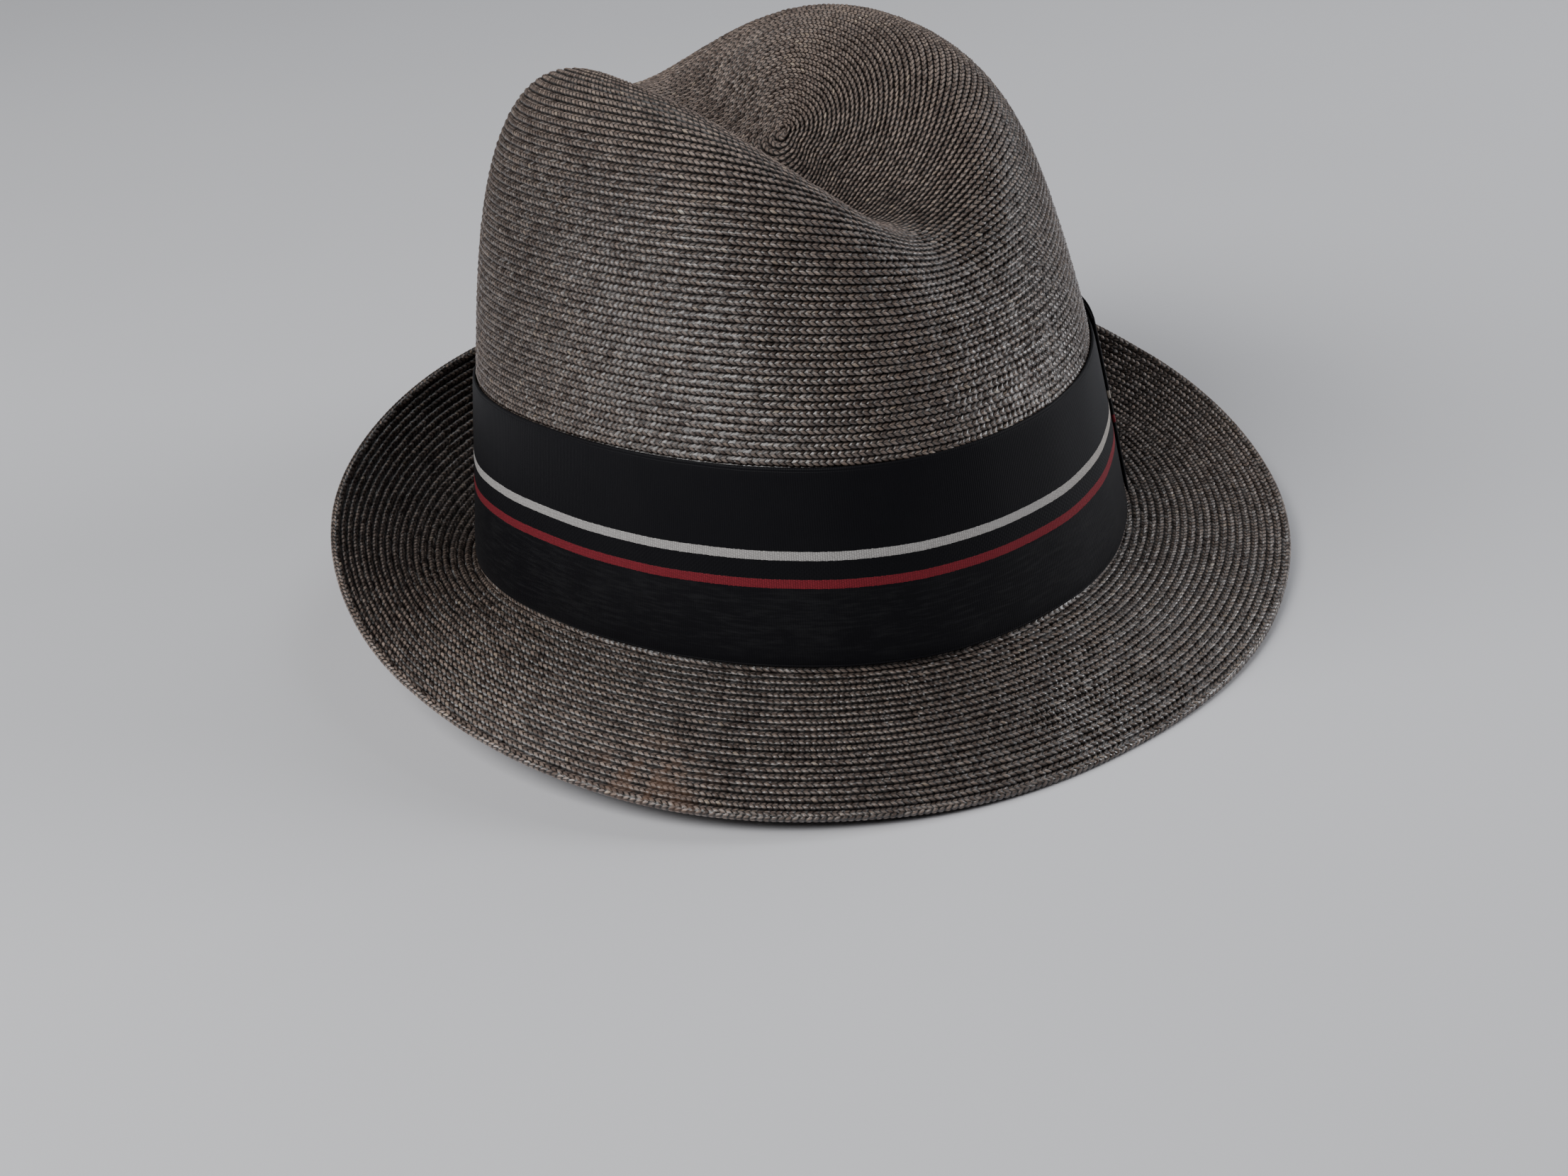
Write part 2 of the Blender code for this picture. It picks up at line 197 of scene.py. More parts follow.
def from_table(table, degrees, column):
    keys = np.array([row[0] for row in table])
    values = np.array([row[column] for row in table])
    slopes = np.gradient(values, keys)
    slopes[0] = 0.0
    slopes[-1] = 0.0
    spot = np.clip(np.searchsorted(keys, degrees, side="right") - 1, 0, len(keys) - 2)
    gap = keys[spot + 1] - keys[spot]
    q = (degrees - keys[spot]) / gap
    start = (1 + 2 * q) * (1 - q) ** 2 * values[spot] + q * (1 - q) ** 2 * gap * slopes[spot]
    end = q * q * (3 - 2 * q) * values[spot + 1] + q * q * (q - 1) * gap * slopes[spot + 1]
    return start + end


def brim_point(turn, share):
    turn, share = np.broadcast_arrays(np.asarray(turn, float), np.asarray(share, float))
    front = np.degrees(np.arccos(np.clip(-np.sin(turn), -1.0, 1.0)))
    reach = BRIM_WIDTH * from_table(BRIM_TURN, front, 1)
    rise = BRIM_WIDTH * from_table(BRIM_TURN, front, 2)
    first = np.radians(from_table(BRIM_TURN, front, 3))
    bend = 2.0 * (np.arctan2(rise, reach) - first)
    bend = np.where(np.abs(bend) < 1e-4, 1e-4, bend)
    radius = np.hypot(reach, rise) / (2.0 * np.sin(bend / 2.0))
    out = radius * (np.sin(first + bend * share) - np.sin(first))
    up = -radius * (np.cos(first + bend * share) - np.cos(first))
    point = root_point(turn) + root_normal(turn) * out[..., None]
    point[..., 2] += up
    return point


def even_turns(count, extra=0):
    return np.arange(count + extra) * 2.0 * math.pi / count


def run_length(line):
    """How far along a line each of its points lies."""
    return np.concatenate([[0.0], np.cumsum(np.linalg.norm(np.diff(line, axis=0), axis=1))])


# The spiral's meridians: for each direction from its centre, how far out each step of rows lies
TABLE_TURNS = 360
TABLE_STEPS = 320
# Rows keep one pitch up the wall, this long over all rows, and the tip takes up what is over or short
WALL_REACH = 0.207
TIP_POWER = 2.5


def spiral_disk(turn, step):
    x = (1.0 - step**2) * SPIRAL_CENTRE[0] + step * np.cos(turn)
    y = (1.0 - step**2) * SPIRAL_CENTRE[1] + step * np.sin(turn)
    return crown_point(np.arctan2(y, x), np.clip(np.hypot(x, y), 0.0, 1.0))


def meridian(turn):
    fine = np.linspace(0.0, 1.0, 900)
    along = run_length(spiral_disk(turn, fine))
    left = 1.0 - np.linspace(0.0, 1.0, TABLE_STEPS + 1)
    spare = along[-1] - WALL_REACH
    return np.interp(along[-1] - WALL_REACH * left - spare * left**TIP_POWER, along, fine)


STEPS = np.array([meridian(turn) for turn in even_turns(TABLE_TURNS, 1)])


def crown_at(turn, row):
    """Crown's outer face at a row counted from the spiral's centre."""
    turn, row = np.broadcast_arrays(np.asarray(turn, float), np.asarray(row, float))
    across = (turn / (2.0 * math.pi) % 1.0) * TABLE_TURNS
    down = np.clip(row / CROWN_ROWS, 0.0, 1.0) * TABLE_STEPS
    i = np.minimum(across.astype(int), TABLE_TURNS - 1)
    j = np.minimum(down.astype(int), TABLE_STEPS - 1)
    p = across - i
    q = down - j
    near = STEPS[i, j] * (1 - q) + STEPS[i, j + 1] * q
    far = STEPS[i + 1, j] * (1 - q) + STEPS[i + 1, j + 1] * q
    return spiral_disk(turn, near * (1 - p) + far * p)


# The foot of the crown's wall at even heights
WALL_TURNS = 720
WALL_LEVELS = np.linspace(-0.0045, 0.0600, 160)


def wall_at(turn, heights):
    """Place of the crown's outer face in one direction, at these heights."""
    column = crown_point(turn, np.linspace(1.0, 0.40, 700))
    rising = np.maximum.accumulate(column[:, 2])
    keep = np.concatenate([[True], np.diff(rising) > 1e-9])
    return np.stack([np.interp(heights, rising[keep], column[keep, k]) for k in (0, 1)], axis=-1)


WALLS = np.array([wall_at(turn, WALL_LEVELS) for turn in even_turns(WALL_TURNS, 1)])


def wall_quick(turns, heights):
    """The same wall at any turns and heights, with straight steps between the table's entries."""
    across = (turns / (2.0 * math.pi) % 1.0) * WALL_TURNS
    up = (heights - WALL_LEVELS[0]) / (WALL_LEVELS[1] - WALL_LEVELS[0])
    up = np.clip(up, 0.0, len(WALL_LEVELS) - 1.001)
    i = np.minimum(across.astype(int), WALL_TURNS - 1)
    j = up.astype(int)
    p = (across - i)[..., None]
    q = (up - j)[..., None]
    flat = (WALLS[i, j] * (1 - q) + WALLS[i, j + 1] * q) * (1 - p)
    flat = flat + (WALLS[i + 1, j] * (1 - q) + WALLS[i + 1, j + 1] * q) * p
    return np.concatenate([flat, heights[..., None]], axis=-1)


def off_wall(turns, heights, outs):
    """Points that stand off the wall."""
    return wall_quick(turns, heights) + root_normal(turns) * outs[..., None]


# Where the brim meets the wall its braid bends up: how many rows the bend takes, how many of them lie on
# the brim, and how far up the wall it goes
BEND_ROWS = 1.6
BEND_OUT = 0.5
BEND_RISE = 0.0024


def brim_at(turn, row):
    """Brim's upper face at a row counted from its root; the first rows turn up into the wall."""
    turn, row = np.broadcast_arrays(np.asarray(turn, float), np.asarray(row, float))
    point = brim_point(turn, np.maximum(row, BEND_OUT) / BRIM_ROWS)
    inner = row < BEND_OUT
    if inner.any():
        t = np.clip((row[inner] + (BEND_ROWS - BEND_OUT)) / BEND_ROWS, 0.0, 1.0)[..., None]
        at = turn[inner]
        wall = wall_quick(at, root_height(at) + BEND_RISE)
        out = brim_point(at, BEND_OUT / BRIM_ROWS)
        point[inner] = (1 - t) ** 2 * wall + 2 * t * (1 - t) * root_point(at) + t**2 * out
    return point


def normal_at(surface, turn, row):
    """Outward direction of crown_at or brim_at, from a short step down the rows and one round them."""
    step, angle = 0.12, 0.012
    row = np.maximum(row, 0.35) if surface is crown_at else row
    down = surface(turn, row + step) - surface(turn, row - step)
    around = surface(turn + angle, row) - surface(turn - angle, row)
    out = np.cross(down, around)
    return out / np.maximum(np.linalg.norm(out, axis=-1, keepdims=True), 1e-12)


def ring_line(row, samples):
    """Length round one ring of the brim, with the turn at each sample."""
    fine = np.linspace(0.0, 2.0 * math.pi, samples)
    return run_length(brim_at(fine, row)), fine


def ribbon_foot(turn):
    return root_height(turn) + ROOT_DIP + RIBBON_FOOT


def ribbon_top(turn):
    return ribbon_foot(turn) + RIBBON_HEIGHT


def band_length(start, stop):
    """Length along the band's outer face, with the turn at each sample."""
    fine = np.linspace(start, stop, 2001)
    return run_length(root_point(fine)[:, :2] + root_normal(fine)[:, :2] * BAND_OUT), fine


def path_turns(lengths):
    """Turns this far round the band from the bow's middle."""
    along, fine = band_length(-1.4, 1.2)
    along = along - np.interp(math.radians(BOW_DIRECTION - 90.0), fine, along)
    return np.interp(lengths, along, fine)


def laid(points):
    """From the plane of the band to the hat as it lies."""
    c, s = math.cos(REST_TILT), math.sin(REST_TILT)
    x, y, z = points[..., 0], points[..., 1], points[..., 2]
    return np.stack([x, y * c - z * s, y * s + z * c], axis=-1) + PLACE


def add_piece(name, points, quads, maps, material, nodes, closed=False):
    """Mesh object from a grid of points, quads and named texture maps with a value for each point."""
    points = points.reshape(-1, 3)
    if closed:
        a, b, c, d = (points[quads[:, k]] for k in range(4))
        volume = (a * np.cross(b, c)).sum() + (a * np.cross(c, d)).sum()
        quads = quads if volume > 0 else quads[:, ::-1]
    used, inverse = np.unique(quads, return_inverse=True)
    quads = inverse.reshape(quads.shape)
    points = laid(points[used])
    mesh = bpy.data.meshes.new(name)
    mesh.vertices.add(len(points))
    mesh.vertices.foreach_set("co", points.astype(np.float32).ravel())
    mesh.loops.add(quads.size)
    mesh.loops.foreach_set("vertex_index", quads.astype(np.int32).ravel())
    mesh.polygons.add(len(quads))
    mesh.polygons.foreach_set("loop_start", np.arange(0, quads.size, 4, dtype=np.int32))
    mesh.polygons.foreach_set("loop_total", np.full(len(quads), 4, dtype=np.int32))
    mesh.update(calc_edges=True)
    mesh.polygons.foreach_set("use_smooth", np.ones(len(quads), dtype=bool))
    for title, values in maps.items():
        layer = mesh.uv_layers.new(name=title)
        layer.data.foreach_set("uv", values[used][quads.ravel()].astype(np.float32).ravel())
    mesh.validate()
    mesh.materials.append(material)
    made = bpy.data.objects.new(name, mesh)
    bpy.context.collection.objects.link(made)
    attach(made, "root")
    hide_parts(*nodes)
    return made


def grid_quads(columns, rows, closed=False):
    """Quads of a grid stored column by column, facing out when rows go down and columns go round."""
    i = np.arange(columns if closed else columns - 1)[:, None] * rows
    j = np.arange(rows - 1)[None, :]
    after = (i + rows) % (columns * rows)
    return np.stack([i + j, i + j + 1, after + j + 1, after + j], axis=-1).reshape(-1, 4)


def ring_quads(columns, count):
    """Quads of a strip whose section is closed, between one more column than this."""
    i = np.arange(columns)[:, None] * count
    j = np.arange(count)[None, :]
    after = (j + 1) % count
    return np.stack([i + j, i + count + j, i + count + after, i + after], axis=-1).reshape(-1, 4)


def closed_strip(outer, inner):
    """Joins a strip's outer and inner faces along both edges and closes both of its ends."""
    points = np.concatenate([outer, inner[:, ::-1]], axis=1)
    columns, count = points.shape[:2]
    j = np.arange(count // 2 - 1)
    first = np.stack([j, j + 1, count - 2 - j, count - 1 - j], axis=-1)
    ends = [first[:, ::-1], first + (columns - 1) * count]
    return points, np.concatenate([ring_quads(columns - 1, count), *ends])


def pairs(x, y):
    return np.stack(np.broadcast_arrays(x, y), axis=-1).reshape(-1, 2)


def polar(reach, turn):
    return pairs(reach * np.cos(turn), reach * np.sin(turn))


def straw_maps(pattern, bake):
    """The braid's pattern, and the polar layout for baking, fitted into the unit square."""
    low, high = bake.min(axis=0), bake.max(axis=0)
    return {"OFBake": (bake - low) / (high - low).max() * 0.99 + 0.005, "braid": pattern}


def cloth_maps(x, y):
    """The ribbon's pattern in millimetres, and the strip unrolled into the unit square for baking."""
    share = np.arange(len(x))[:, None] / (len(x) - 1.0)
    bake = pairs(share, np.arange(len(y)) / len(y)) * 0.99 + 0.005
    return {"OFBake": bake, "ribbon": pairs(x[:, None], y)}


def leaf_forms(count, braid, seed):
    """Height and slip across the row of each point: every leaf swells and sits a little differently."""
    dice = np.random.default_rng(seed)
    which, step = np.divmod(np.arange(count), len(braid.leaf))
    across = braid.across

    def each_leaf(middle, spread):
        return dice.normal(middle, spread, count // len(braid.leaf) + 2)[which][:, None]

    shape = braid.leaf[step][:, None]
    upper = across < VERTEX + 0.01
    lift = np.where(upper, each_leaf(0.0, 1.0), each_leaf(0.0, 1.0))
    fat = np.where(upper, each_leaf(1.0, 0.22), each_leaf(1.0, 0.22))
    loose = 0.00004 * lift * np.where(across > 0.1, 1.0, 0.0) * np.where(across < 0.98, 1.0, 0.3)
    height = braid.base + braid.swell * shape * fat + loose
    lip = across > 0.85
    slip = np.where(lip, 0.055, 0.0) * shape
    slip = slip + np.where(np.abs(across - VERTEX) < 0.01, 1.0, 0.0) * braid.zigzag[step][:, None]
    slip = slip + np.where(lip, 0.018, 0.0) * each_leaf(0.0, 1.0)
    return height, slip


def braid_rows(row, braid, slip):
    """Rows at which a strip's lines lie: its upper edge tucks under the row above."""
    return row + (1.0 + TUCK) * braid.across - TUCK + slip


def braid_points(turns, rows, braid, seed):
    """Turn, row and height of braid columns. turns and rows are the strip's line, a column for each step."""
    line = np.arange(len(turns), dtype=float)
    shifted = line[:, None] + np.abs(braid.across - VERTEX) * SHEAR * len(braid.leaf)
    past = np.maximum(shifted - line[-1], 0.0)
    turn = np.interp(shifted, line, turns) + past * (turns[-1] - turns[-2])
    row = np.interp(shifted, line, rows) + past * (rows[-1] - rows[-2])
    height, slip = leaf_forms(len(turns), braid, seed)
    return turn, braid_rows(row, braid, slip), height


def strip_maps(start, count, braid, turn, row):
    """Pattern and layout for baking of one strip of braid."""
    x = start + np.arange(count)[:, None] / len(braid.leaf)
    return pairs(x, braid.across), polar(row + 0.04 + 0.92 * braid.across, turn)


class Net:
    """A material whose node tree is written as expressions."""

    def __init__(self, name):
        self.material = bpy.data.materials.new(name)
        self.material.use_nodes = True
        self.tree = self.material.node_tree
        self.shader = self.tree.nodes["Principled BSDF"]

    def put(self, socket, value):
        if isinstance(value, bpy.types.NodeSocket):
            self.tree.links.new(value, socket)
        elif isinstance(value, tuple) and len(value) == 3 and socket.type == "RGBA":
            socket.default_value = (*value, 1.0)
        else:
            socket.default_value = value

    def look(self, **given):
        for title, value in given.items():
            self.put(self.shader.inputs[title.replace("_", " ")], value)

    def new(self, kind, **given):
        node = self.tree.nodes.new(kind)
        for key, value in given.items():
            setattr(node, key, value)
        return node

    def calc(self, operation, *values, clamp=False):
        node = self.new("ShaderNodeMath", operation=operation, use_clamp=clamp)
        for socket, value in zip(node.inputs, values):
            self.put(socket, value)
        return node.outputs[0]

    def times(self, first, *others):
        for other in others:
            first = self.calc("MULTIPLY", first, other)
        return first

    def plus(self, first, *others):
        for other in others:
            first = self.calc("ADD", first, other)
        return first

    def minus(self, first, second, clamp=False):
        return self.calc("SUBTRACT", first, second, clamp=clamp)

    def weighted(self, *terms):
        return self.plus(*[self.times(value, weight) for value, weight in terms])

    def smooth(self, value, low, high, start=0.0, end=1.0):
        node = self.new("ShaderNodeMapRange", interpolation_type="SMOOTHSTEP")
        for socket, given in zip(node.inputs, (value, low, high, start, end)):
            self.put(socket, given)
        return node.outputs[0]

    def near(self, value, centre, half, soft):
        away = self.calc("ABSOLUTE", self.minus(value, centre))
        return self.smooth(away, half, half + soft, 1.0, 0.0)

    def close_to(self, place, spot, full, none):
        node = self.new("ShaderNodeVectorMath", operation="DISTANCE")
        self.put(node.inputs[0], place)
        node.inputs[1].default_value = spot
        return self.smooth(node.outputs["Value"], full, none, 1.0, 0.0)

    def mix(self, factor, first, second, kind="MIX"):
        node = self.new("ShaderNodeMix", data_type="RGBA", blend_type=kind)
        self.put(node.inputs[0], factor)
        self.put(node.inputs[6], first)
        self.put(node.inputs[7], second)
        return node.outputs[2]

    def shaded(self, colour, value):
        return self.mix(1.0, colour, self.vector(value, value, value), "MULTIPLY")

    def vector(self, x=0.0, y=0.0, z=0.0):
        node = self.new("ShaderNodeCombineXYZ")
        for socket, value in zip(node.inputs, (x, y, z)):
            self.put(socket, value)
        return node.outputs[0]

    def parts(self, vector):
        node = self.new("ShaderNodeSeparateXYZ")
        self.put(node.inputs[0], vector)
        return node.outputs

    def place(self):
        return self.new("ShaderNodeTexCoord").outputs["Object"]

    def pattern(self, name):
        return self.parts(self.new("ShaderNodeUVMap", uv_map=name).outputs[0])[:2]

    def noise(self, vector, scale=1.0, detail=2.0, roughness=0.5):
        node = self.new("ShaderNodeTexNoise")
        self.put(node.inputs["Vector"], vector)
        node.inputs["Scale"].default_value = scale
        node.inputs["Detail"].default_value = detail
        node.inputs["Roughness"].default_value = roughness
        return node.outputs[0]

    def white(self, x, y, z):
        node = self.new("ShaderNodeTexWhiteNoise", noise_dimensions="3D")
        self.put(node.inputs["Vector"], self.vector(x, y, z))
        return node.outputs[0]

    def ramp(self, value, stops):
        node = self.new("ShaderNodeValToRGB")
        marks = node.color_ramp.elements
        while len(marks) < len(stops):
            marks.new(0.5)
        for mark, (place, colour) in zip(marks, stops):
            mark.position = place
            mark.color = (*colour, 1.0)
        self.put(node.inputs[0], value)
        return node.outputs[0]

    def bump(self, height, distance):
        node = self.new("ShaderNodeBump")
        node.inputs["Strength"].default_value = 1.0
        node.inputs["Distance"].default_value = distance
        self.put(node.inputs["Height"], height)
        return node.outputs[0]


# The braid's tones, from the darkest leaves to the few palest
STRAW_TONES = (
    (0.05, (0.036, 0.024, 0.020)),
    (0.32, (0.080, 0.059, 0.050)),
    (0.52, (0.132, 0.104, 0.090)),
    (0.70, (0.180, 0.138, 0.116)),
    (0.86, (0.222, 0.176, 0.136)),
    (1.00, (0.330, 0.285, 0.235)),
)
THREAD_BROWN = (0.060, 0.034, 0.026)
WORN_BROWN = (0.17, 0.085, 0.045)
STITCH = 0.0030
# Two places in front on the brim, on the hat as it lies: one is worn, the other polished
WORN_SPOT = (-0.1076, -0.0660, 0.0088)
POLISHED_SPOT = (-0.0071, -0.1179, 0.0061)
# The oval of the crown's top, as it lies: middle and half its width, then the same along the hat
TOP_ACROSS = (0.0055, 0.0675)
TOP_ALONG = (0.0190, 0.0860)
LEAF_RELIEF = 0.00012


def straw_material(name, shade, gloss):
    net = Net(name)
    x, v = net.pattern("braid")
    place = net.place()
    px, py, pz = net.parts(place)
    cell = net.calc("FLOOR", x)
    a = net.calc("FRACT", x)
    centre = net.plus(VERTEX + 0.055, net.times(a, -0.10))
    upper = net.calc("LESS_THAN", v, centre)

    def leaf_dice(number):
        return net.white(cell, upper, number)

    own = leaf_dice(0.37)
    strand = net.noise(net.vector(net.times(x, 0.11), net.times(upper, 5.0), 0.0), 1.0, 2.0)
    patch = net.minus(net.noise(place, 22.0, 3.0, 0.6), 0.5)
    bright = net.smooth(leaf_dice(2.9), 0.90, 1.0)
    tone = net.weighted((own, 0.36), (strand, 0.62), (patch, 0.5), (bright, 0.24))
    tone = net.minus(tone, 0.02, clamp=True)
    colour = net.ramp(tone, [(stop, tuple(part * shade for part in rgb)) for stop, rgb in STRAW_TONES])
    # Fibres run along each leaf
    grain = net.vector(net.plus(net.times(a, 7.0), net.times(own, 90.0)), net.times(v, 1.6), cell)
    fibre = net.noise(grain, 1.0, 3.0, 0.65)
    streaks = net.ramp(fibre, [(0.25, (0.62, 0.60, 0.58)), (0.75, (1.25, 1.24, 1.22))])
    colour = net.mix(1.0, colour, streaks, "MULTIPLY")
    # Painted shade: the colour is darkened between leaves, under the row above, at the lip and where the two
    # rows of leaves meet, as shade falls in the braid's gaps and creases
    border = net.smooth(net.calc("MINIMUM", a, net.minus(1.0, a)), 0.04, 0.27, 0.03, 1.0)
    colour = net.shaded(colour, border)
    tucked = net.smooth(v, 0.15, 0.38, 0.02, 1.0)
    lip = net.smooth(v, 0.80, 0.95, 1.0, 0.03)
    spine = net.smooth(net.calc("ABSOLUTE", net.minus(v, centre)), 0.008, 0.05, 0.10, 1.0)
    colour = net.shaded(colour, net.times(tucked, lip, spine))
    # Brown thread that sews each row under the one above
    stitch = net.calc("FRACT", net.times(x, CELL / STITCH))
    thread = net.times(net.near(v, 0.150, 0.016, 0.022), net.near(stitch, 0.5, 0.33, 0.08))
    colour = net.mix(net.times(thread, 0.8), colour, THREAD_BROWN)
    # Painted light and shade: the crown's top is painted paler as if lit from above; on the brim, the parts
    # to either hand are painted paler, the wearer's right most of all, and the back darker, as the light
    # falls on them
    off_x = net.times(net.minus(px, TOP_ACROSS[0]), 1.0 / TOP_ACROSS[1])
    off_y = net.times(net.minus(py, TOP_ALONG[0]), 1.0 / TOP_ALONG[1])
    off = net.calc("SQRT", net.plus(net.times(off_x, off_x), net.times(off_y, off_y)))
    on_top = net.times(net.smooth(pz, 0.070, 0.085), net.smooth(off, 0.66, 0.98, 1.0, 0.0))
    painted_top_light = net.plus(0.98, net.times(on_top, 0.62))
    brim_painted_light_and_shade = net.smooth(net.calc("ABSOLUTE", px), 0.050, 0.120, 0.91, 1.32)
    brim_painted_light_and_shade = net.plus(brim_painted_light_and_shade, net.smooth(px, -0.125, -0.085, 0.60, 0.0))
    brim_painted_light_and_shade = net.times(brim_painted_light_and_shade, net.smooth(py, 0.010, 0.090, 1.0, 0.74))
    deep_brim = net.smooth(pz, 0.034, 0.060, 1.0, 0.0)
    level = net.times(painted_top_light, net.plus(1.0, net.times(deep_brim, net.minus(brim_painted_light_and_shade, 1.0))))
    colour = net.shaded(colour, level)
    # Handling has worn the lacquer to a warmer brown at one place and polished it at another
    worn = net.close_to(place, WORN_SPOT, 0.004, 0.024)
    worn = net.times(worn, net.smooth(net.noise(place, 190.0, 3.0, 0.6), 0.45, 0.62))
    colour = net.mix(net.times(worn, 0.45), colour, WORN_BROWN)
    polished = net.close_to(place, POLISHED_SPOT, 0.004, 0.022)
    rough = net.plus(0.30, net.times(leaf_dice(4.1), 0.22))
    rough = net.plus(rough, net.times(worn, 0.2))
    rough = net.minus(rough, net.times(polished, 0.16))
    rough = net.plus(rough, net.times(on_top, 0.18))
    # Single leaves keep more or less of their lacquer
    lacquer = net.smooth(leaf_dice(5.3), 0.15, 0.95, 0.25, 1.25)
    lacquer = net.times(lacquer, net.smooth(on_top, 0.0, 1.0, gloss, gloss * 0.20))
    lacquer = net.plus(lacquer, net.times(polished, 0.45))
    # Each leaf lies at its own small slant, which is what makes single leaves glint
    lean = net.times(a, net.minus(leaf_dice(7.7), 0.5))
    dip = net.times(v, net.minus(leaf_dice(9.3), 0.5))
    height = net.weighted((fibre, 0.40), (border, 0.55), (spine, 0.5), (thread, 0.9), (lean, 12.0),
                          (dip, 16.0))
    net.look(Base_Color=colour, Roughness=rough, Coat_Weight=lacquer, Coat_Roughness=0.12,
             Specular_IOR_Level=0.5, Normal=net.bump(height, LEAF_RELIEF))
    net.material.diffuse_color = (0.12, 0.10, 0.09, 1.0)
    return net.material


# The ribbon's weave, in millimetres: its ribs, the threads of its stripes, how high the stripes' middles and
# the field between them lie and how wide a stripe is to each side
RIB = 0.63
THREAD = 0.42
WHITE_STRIPE = 29.1
RED_STRIPE = 21.9
FIELD = 25.5
STRIPE_HALF = 1.10
WAFFLE_ALONG = 1.26
WAFFLE_UP = 1.1
SELVAGES = (50.5, 0.8)
BLACK_LOW, BLACK_HIGH = (0.0022, 0.0021, 0.0034), (0.0046, 0.0044, 0.0066)
BLACK_CLOUDY = (0.0064, 0.0062, 0.0078)
DUST = (0.0135, 0.0135, 0.0150)
WHITE_COOL, WHITE_WARM = (0.52, 0.50, 0.485), (0.53, 0.44, 0.33)
RED_LOW, RED_HIGH = (0.200, 0.016, 0.026), (0.285, 0.030, 0.042)
RIB_RELIEF = 0.00009


def ribbon_material():
    net = Net("striped_ribbon")
    x, y = net.pattern("ribbon")
    place = net.place()
    rib = net.times(x, 1.0 / RIB)
    rib_id = net.calc("FLOOR", rib)
    ridge = net.calc("SINE", net.times(net.calc("FRACT", rib), math.pi))
    # The stripes' edges step a little from one rib to the next
    own = net.minus(net.white(rib_id, 0.5, 0.0), 0.5)
    level = net.plus(y, net.times(own, 0.10))
    white = net.near(level, WHITE_STRIPE, STRIPE_HALF, 0.10)
    red = net.near(level, RED_STRIPE, STRIPE_HALF, 0.10)
    stripe = net.calc("MAXIMUM", white, red)
    streak = net.noise(net.vector(net.times(x, 0.5), net.times(y, 8.0), 0.0), 1.0, 3.0, 0.6)
    cloud = net.noise(place, 30.0, 3.0, 0.6)
    black = net.mix(net.times(streak, 0.8), BLACK_LOW, BLACK_HIGH)
    black = net.mix(net.smooth(cloud, 0.4, 0.7, 0.0, 0.35), black, BLACK_CLOUDY)
    # Dust lies in fine streaks on the lower half
    fine = net.noise(net.vector(net.times(x, 0.12), net.times(y, 1.1), 0.0), 1.0, 5.0, 0.7)
    dust = net.smooth(net.plus(fine, net.times(cloud, 0.35)), 0.62, 0.86, 0.0, 0.75)
    black = net.mix(net.times(dust, net.near(y, 12.0, 6.0, 6.0)), black, DUST)
    # The stripes are a plain weave: small threads that pass over and under by turns
    shifted = net.plus(y, net.times(net.calc("MODULO", rib_id, 2.0), THREAD / 2.0))
    wave = net.calc("ABSOLUTE", net.calc("SINE", net.times(shifted, math.pi / THREAD)))
    # Painted shade: the stripes' colour is darkened where the threads dip under and towards each rib's
    # groove; grain gives each thread its own tone
    blocks = net.smooth(net.times(wave, net.calc("POWER", ridge, 0.5)), 0.0, 0.75, 0.48, 1.0)
    grain = net.white(rib_id, net.calc("FLOOR", net.times(shifted, 1.0 / THREAD)), 1.7)
    blocks = net.times(blocks, net.plus(0.90, net.times(grain, 0.16)))
    # The white has yellowed on the wearer's left
    warm = net.smooth(net.parts(place)[0], 0.0, 0.09, 0.0, 0.55)
    pale = net.mix(warm, WHITE_COOL, WHITE_WARM)
    soiled = net.ramp(streak, [(0.2, (0.80, 0.80, 0.80)), (0.8, (1.08, 1.08, 1.08))])
    pale = net.shaded(net.mix(1.0, pale, soiled, "MULTIPLY"), blocks)
    crimson = net.shaded(net.mix(net.times(streak, 0.7), RED_LOW, RED_HIGH), blocks)
    colour = net.mix(red, net.mix(white, black, pale), crimson)
    # Painted shade: the colour is darkened in the groove between ribs, less on the stripes
    furrow_shade = net.smooth(ridge, 0.05, 0.6, net.plus(0.66, net.times(stripe, 0.28)), 1.0)
    # A small waffle weave lies between the stripes, and a fine selvage line along each edge
    waffle = net.times(net.calc("SINE", net.times(x, 2.0 * math.pi / WAFFLE_ALONG)),
                       net.calc("SINE", net.times(y, 2.0 * math.pi / WAFFLE_UP)),
                       net.near(y, FIELD, 2.1, 0.3))
    edge = net.plus(*[net.near(y, line, 0.10, 0.18) for line in SELVAGES])
    thread = net.noise(net.vector(rib, net.times(y, 5.0), 0.0), 1.0, 2.0)
    height = net.weighted((ridge, 0.42), (waffle, 0.34), (net.times(stripe, blocks), 0.8), (edge, -0.8),
                          (thread, 0.35))
    net.look(Base_Color=net.shaded(colour, furrow_shade), Roughness=net.plus(0.46, net.times(streak, 0.16)),
             Sheen_Weight=0.03, Sheen_Roughness=0.5, Specular_IOR_Level=0.12,
             Normal=net.bump(height, RIB_RELIEF))
    net.material.diffuse_color = (0.01, 0.01, 0.013, 1.0)
    return net.material


STRAW = straw_material("plaited_straw", shade=1.20, gloss=0.70)
STRAW_UNDER = straw_material("plaited_straw_reverse", shade=0.82, gloss=0.2)
RIBBON = ribbon_material()


def crown_spiral():
    """The spiral's line: turn and row at each column, one column for each step of a leaf."""
    fine = np.linspace(0.0, CROWN_ROWS, CROWN_ROWS * 120 + 1)
    along = run_length(crown_at(fine * 2.0 * math.pi + math.pi / 2.0, fine + 0.5))
    step = CELL / len(FACE.leaf)
    rows = np.interp(np.arange(int(along[-1] / step)) * CELL / len(FACE.leaf), along, fine)
    return rows * 2.0 * math.pi + math.pi / 2.0, rows


